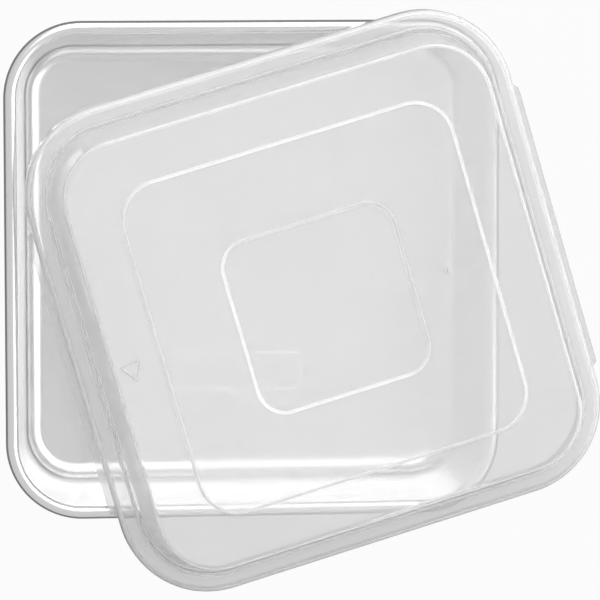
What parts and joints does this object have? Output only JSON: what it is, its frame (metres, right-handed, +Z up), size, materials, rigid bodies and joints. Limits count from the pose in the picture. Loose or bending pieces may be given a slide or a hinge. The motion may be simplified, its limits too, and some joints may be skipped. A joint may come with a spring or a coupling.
{
  "type": "square baking pan with lid",
  "caption": "Square drawn-aluminium baking pan with a wire-filled curled rim and a raised translucent press-on lid lying askew on it.",
  "frame": {"origin": "middle of the pan's flat underside, on the surface that it stands on", "axes": "+Z up; +X and +Y along the pan's sides. The lid lies turned 16.4 degrees about +Z and aside towards +X and -Y."},
  "size_m": [0.3037, 0.2941, 0.1051],
  "materials": {
    "pan_sheet": "natural satin",
    "rim_steel": "galvanised",
    "lid_plastic": "moulded, translucent, milky"
  },
  "bodies": {
    "pan_body": {"pan": "pan_sheet", "rim_wire": "rim_steel"},
    "lid_body": {"lid": "lid_plastic"}
  },
  "joints": [
    {"name": "lid_lift", "type": "slide", "parent": "pan_body", "child": "lid_body", "axis": [0, 0, 1], "range_m": [0, 0.1]}
  ]
}
